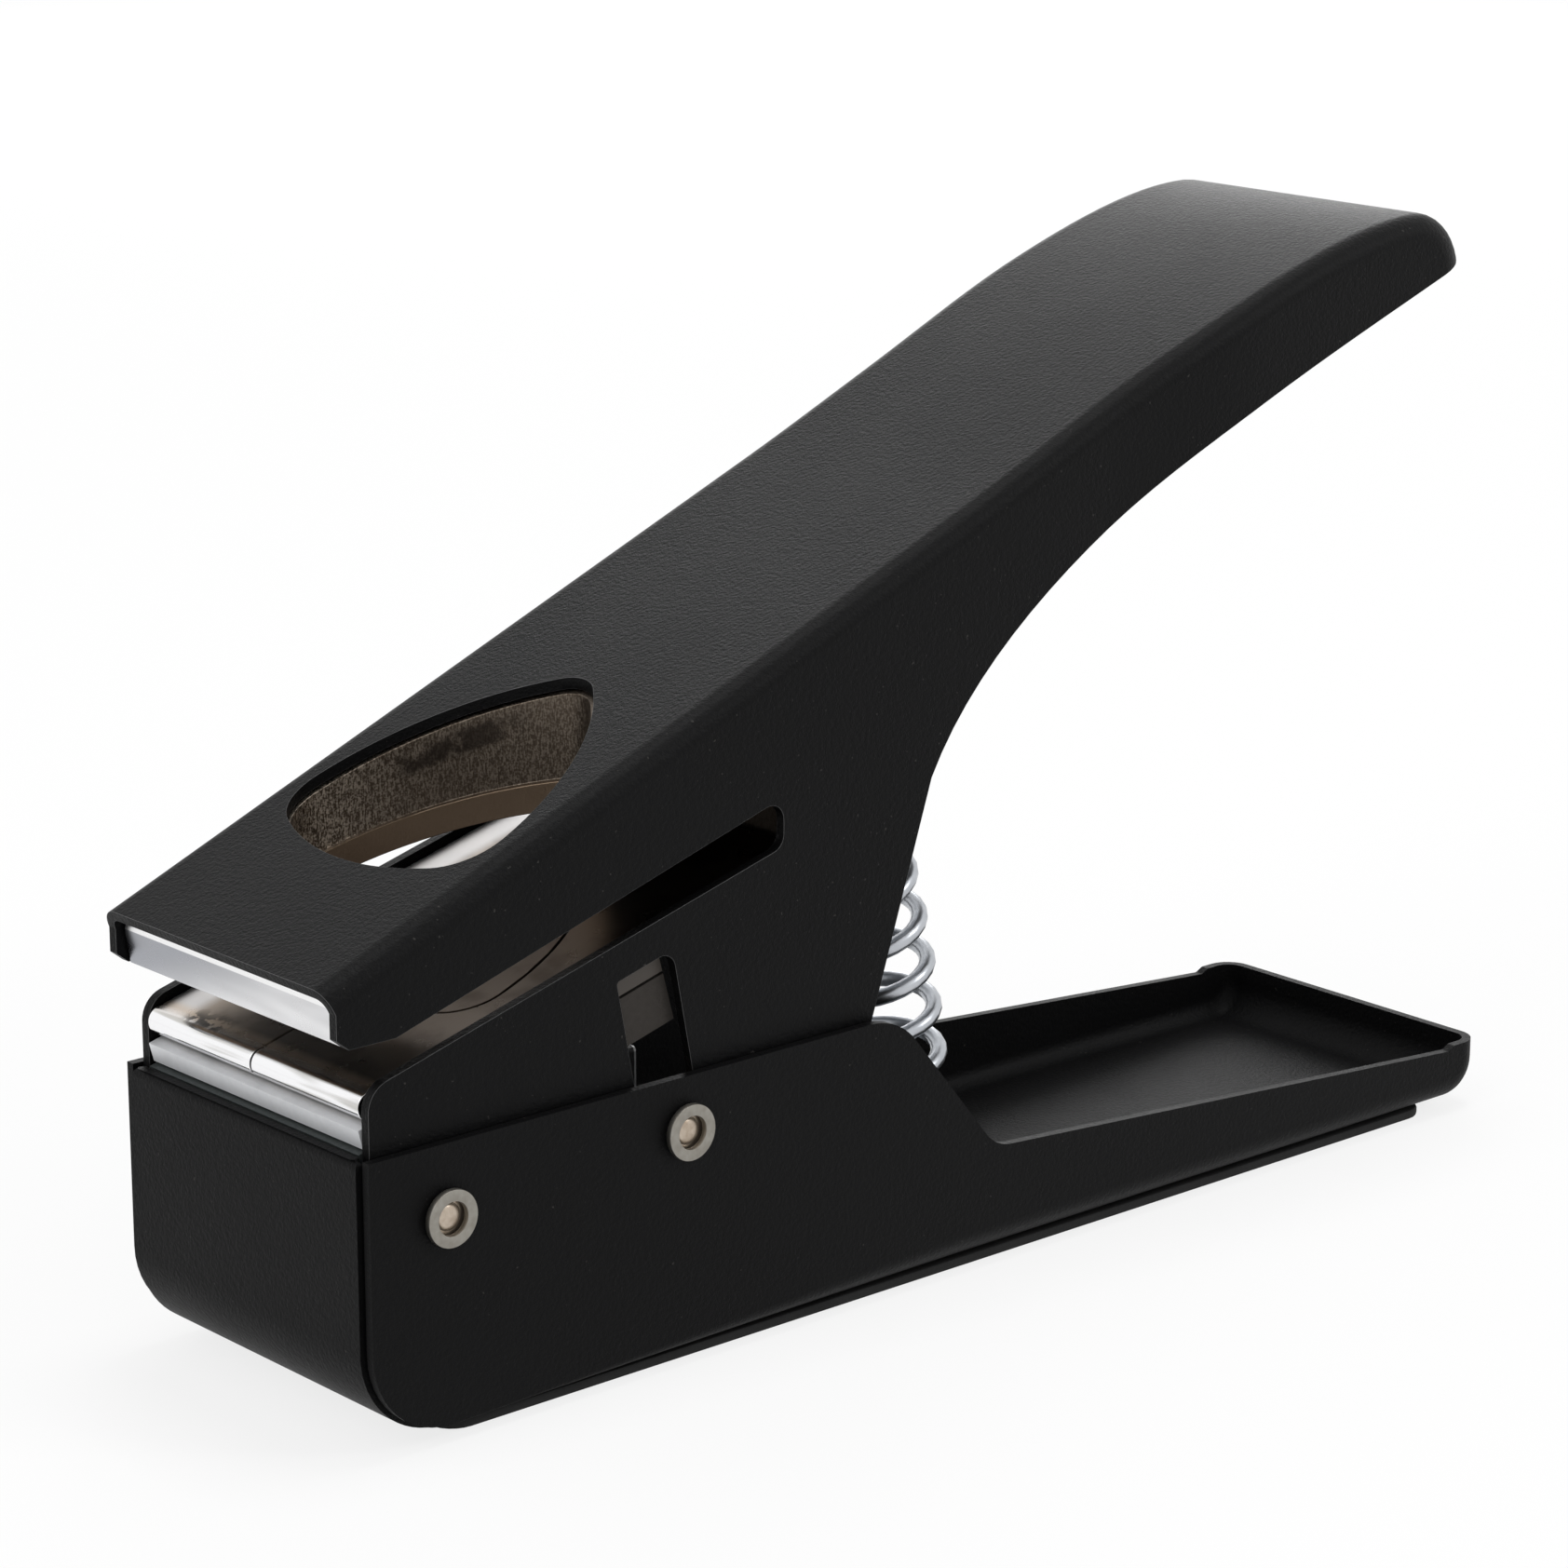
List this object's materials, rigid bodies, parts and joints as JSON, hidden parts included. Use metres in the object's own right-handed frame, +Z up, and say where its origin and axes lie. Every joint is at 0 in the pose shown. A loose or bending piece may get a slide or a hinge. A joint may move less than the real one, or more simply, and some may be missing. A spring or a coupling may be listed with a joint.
{
  "type": "guitar pick punch",
  "caption": "Hand punch for plectrum-shaped pieces: folded sheet base with a shallow tray, stamped lever handle, slanted card slot, pick-shaped die and a visible coil spring.",
  "frame": {"origin": "centre of the bounding box in plan, on the table under the rubber mat", "axes": "+X from the jaws to the end of the handle, +Y across the tool, +Z up"},
  "size_m": [0.1614, 0.042, 0.1044],
  "materials": {
    "black_powder_coat": "fine grained satin",
    "black_rubber": "matt",
    "nickel": "satin nickel",
    "aged_brass": "dull",
    "bright_zinc": "bright plated wire",
    "warm_nickel": "warm toned plating",
    "chrome": "polished",
    "grey_casting": "rough",
    "screw_steel": "satin"
  },
  "bodies": {
    "base": {"base_shell": "black_powder_coat", "nonslip_mat": "black_rubber", "front_pivot_pin": "aged_brass", "rear_punch_pin": "aged_brass", "front_pin_collar_left": "nickel", "front_pin_collar_right": "nickel", "rear_pin_collar_left": "nickel", "rear_pin_collar_right": "nickel", "front_spacer_tube": "nickel", "lower_spring_boss": "nickel", "return_spring": "bright_zinc"},
    "handle": {"handle_shell": "black_powder_coat", "upper_die_block": "chrome", "lower_guide_left": "warm_nickel", "lower_guide_right": "warm_nickel", "guide_support_plate": "chrome", "guide_block": "grey_casting", "guide_screw_1": "screw_steel", "guide_screw_2": "screw_steel", "guide_screw_3": "screw_steel", "guide_screw_4": "screw_steel", "upper_spring_boss": "nickel"},
    "punch": {"pick_punch": "warm_nickel", "punch_carrier": "screw_steel", "punch_screw_front": "screw_steel", "punch_screw_rear": "screw_steel"}
  },
  "joints": [
    {"name": "handle_hinge", "type": "hinge", "parent": "base", "child": "handle", "pos_m": [-0.0684, 0, 0.023], "axis": [0, 1, 0], "range_deg": [0, 15], "stiffness_Nm_per_rad": 4, "springref_deg": -8.59, "deforming": ["return_spring"]},
    {"name": "punch_slide", "type": "slide", "parent": "handle", "child": "punch", "axis": [0, 0, 1], "range_m": [0, 0.0077]}
  ],
  "couplings": [
    {"joint": "punch_slide", "follows": "handle_hinge", "m_per_rad": 0.029}
  ]
}
